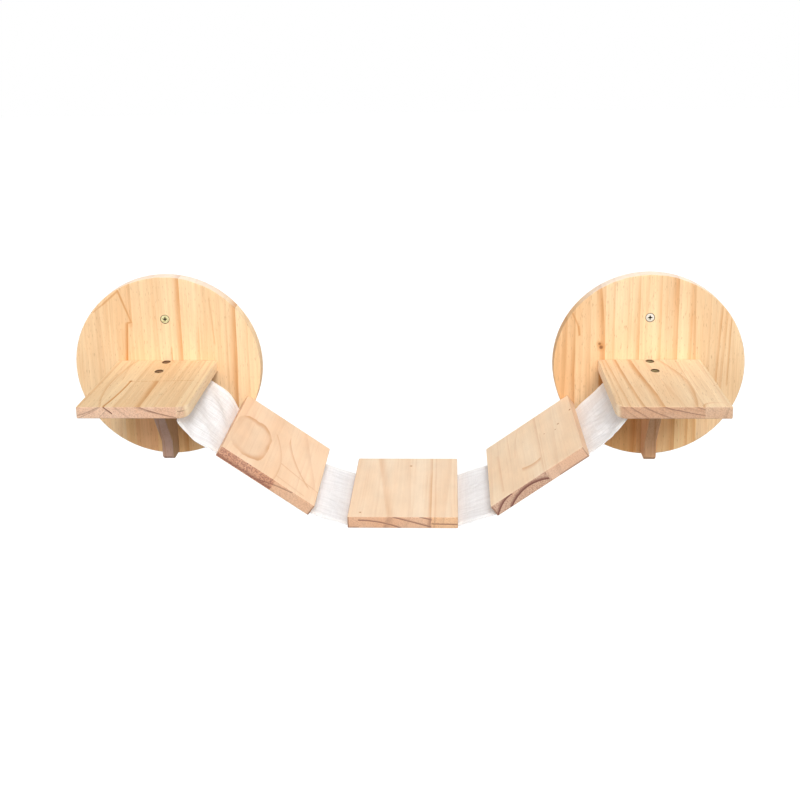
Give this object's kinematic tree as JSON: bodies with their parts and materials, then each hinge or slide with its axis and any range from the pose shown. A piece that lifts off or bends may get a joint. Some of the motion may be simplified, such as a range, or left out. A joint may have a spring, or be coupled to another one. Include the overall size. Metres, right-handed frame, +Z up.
{
  "type": "wall-mounted cat bridge",
  "caption": "Wall bridge for cats: two round wooden wall plates with braced shelves, and wooden steps hung between them on a strip of white cloth.",
  "frame": {"origin": "on the wall, midway between the centres of the two round plates", "axes": "+X to the right along the wall as seen from the front, +Y into the wall, +Z up"},
  "size_m": [1.0672, 0.2306, 0.3347],
  "materials": {
    "plate_pine": "sanded solid pine, upright grain",
    "shelf_pine": "sanded solid pine, grain front to back",
    "step_pine": "sanded solid pine, grain front to back",
    "brace_pine": "sanded pine, greyer than the boards",
    "batten_pine": "sawn pine",
    "white_cloth": "plain woven cotton, white",
    "pale_brass": "pale yellow plating on the wall screws",
    "zinc_steel": "zinc plated"
  },
  "bodies": {
    "stations": {"left_back_plate": "plate_pine", "left_shelf": "shelf_pine", "left_brace": "brace_pine", "left_wall_screw_upper": "pale_brass", "left_wall_screw_lower_outer": "pale_brass", "left_wall_screw_lower_inner": "pale_brass", "left_shelf_screw_rear": "zinc_steel", "left_shelf_screw_front": "zinc_steel", "left_plate_screw_outer": "zinc_steel", "left_plate_screw_inner": "zinc_steel", "left_brace_screw_upper": "zinc_steel", "left_brace_screw_lower": "zinc_steel", "left_cloth_tail": "white_cloth", "left_cloth_batten": "batten_pine", "left_cloth_batten_screw_front": "zinc_steel", "left_cloth_batten_screw_rear": "zinc_steel", "right_back_plate": "plate_pine", "right_shelf": "shelf_pine", "right_brace": "brace_pine", "right_wall_screw_upper": "pale_brass", "right_wall_screw_lower_outer": "pale_brass", "right_wall_screw_lower_inner": "pale_brass", "right_shelf_screw_rear": "zinc_steel", "right_shelf_screw_front": "zinc_steel", "right_plate_screw_outer": "zinc_steel", "right_plate_screw_inner": "zinc_steel", "right_brace_screw_upper": "zinc_steel", "right_brace_screw_lower": "zinc_steel", "right_cloth_tail": "white_cloth", "right_cloth_batten": "batten_pine", "right_cloth_batten_screw_front": "zinc_steel", "right_cloth_batten_screw_rear": "zinc_steel"},
    "left_arm": {"left_outer_cloth": "white_cloth", "left_step": "step_pine", "left_step_cloth": "white_cloth", "left_step_batten": "batten_pine", "left_step_batten_screw_front": "zinc_steel", "left_step_batten_screw_rear": "zinc_steel"},
    "centre": {"left_inner_cloth": "white_cloth", "centre_step": "step_pine", "centre_step_cloth": "white_cloth", "centre_step_batten": "batten_pine", "centre_step_batten_screw_front": "zinc_steel", "centre_step_batten_screw_rear": "zinc_steel", "right_inner_cloth": "white_cloth"},
    "right_arm": {"right_outer_cloth": "white_cloth", "right_step": "step_pine", "right_step_cloth": "white_cloth", "right_step_batten": "batten_pine", "right_step_batten_screw_front": "zinc_steel", "right_step_batten_screw_rear": "zinc_steel"}
  },
  "joints": [
    {"name": "left_fold", "type": "hinge", "parent": "stations", "child": "left_arm", "pos_m": [-0.32159, -0.1083, -0.00805], "axis": [0, -1, 0], "range_deg": [-4, 4]},
    {"name": "centre_fold", "type": "hinge", "parent": "left_arm", "child": "centre", "pos_m": [-0.13764, -0.1083, -0.15772], "axis": [0, -1, 0], "range_deg": [-10, 10]},
    {"name": "right_fold", "type": "hinge", "parent": "stations", "child": "right_arm", "pos_m": [0.32159, -0.1083, -0.00805], "axis": [0, -1, 0], "range_deg": [-4.3, 4.3]}
  ],
  "couplings": [
    {"joint": "centre_fold", "follows": "left_fold", "ratio": -2.3364},
    {"joint": "right_fold", "follows": "left_fold", "ratio": 1}
  ]
}
